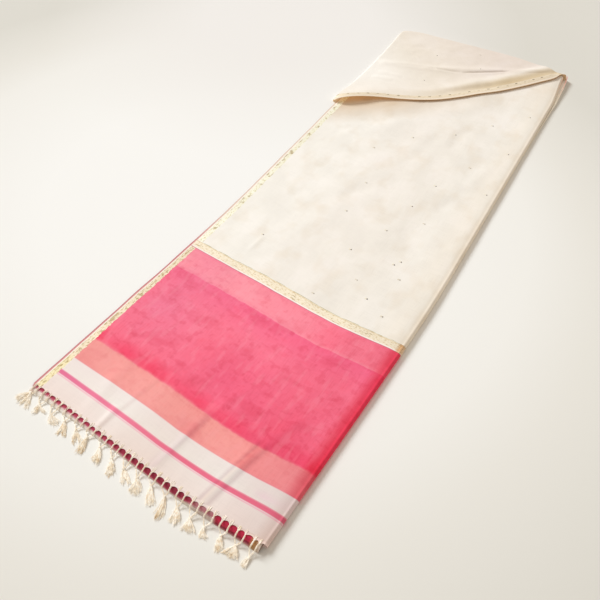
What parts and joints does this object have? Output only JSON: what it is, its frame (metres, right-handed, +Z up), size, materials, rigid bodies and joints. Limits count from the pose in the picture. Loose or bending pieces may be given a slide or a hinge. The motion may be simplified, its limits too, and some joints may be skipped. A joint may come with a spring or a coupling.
{
  "type": "folded saree",
  "caption": "Woven saree folded flat in a long strip, with banded pallu, zari border, knotted tassel fringe and a turned-over triangle at the far end.",
  "frame": {"origin": "on the floor plane under the middle of the folded strip", "axes": "+X from the paired selvedges to the width fold, +Y from the knotted end to the far fold, +Z up off the floor"},
  "size_m": [0.6551, 1.844, 0.024],
  "materials": {
    "cream_cotton": "fine plain weave, matt with a soft sheen",
    "salmon_band": "shot plain weave of pink and cream",
    "deep_pink_ground": "fine plain weave, softly mottled where layers show through",
    "light_pink_band": "fine plain weave",
    "zari_gold": "woven metallic thread, pale gold",
    "under_pink": "crimson plain weave in shade",
    "tassel_thread": "loose knotted warp yarn"
  },
  "bodies": {
    "root": {"pallu_end_band": "cream_cotton", "pallu_salmon_band": "salmon_band", "pallu_pink_ground": "deep_pink_ground", "pallu_light_band": "light_pink_band", "zari_cross_band": "zari_gold", "body_ground": "cream_cotton", "hidden_layers": "cream_cotton", "folded_back_layer": "under_pink", "turned_over_triangle": "cream_cotton", "return_edge": "cream_cotton", "tassel_01": "tassel_thread", "tassel_02": "tassel_thread", "tassel_03": "tassel_thread", "tassel_04": "tassel_thread", "tassel_05": "tassel_thread", "tassel_06": "tassel_thread", "tassel_07": "tassel_thread", "tassel_08": "tassel_thread", "tassel_09": "tassel_thread", "tassel_10": "tassel_thread", "tassel_11": "tassel_thread", "tassel_12": "tassel_thread", "tassel_13": "tassel_thread", "tassel_14": "tassel_thread", "tassel_15": "tassel_thread", "tassel_16": "tassel_thread", "tassel_17": "tassel_thread", "tassel_18": "tassel_thread"}
  },
  "joints": []
}
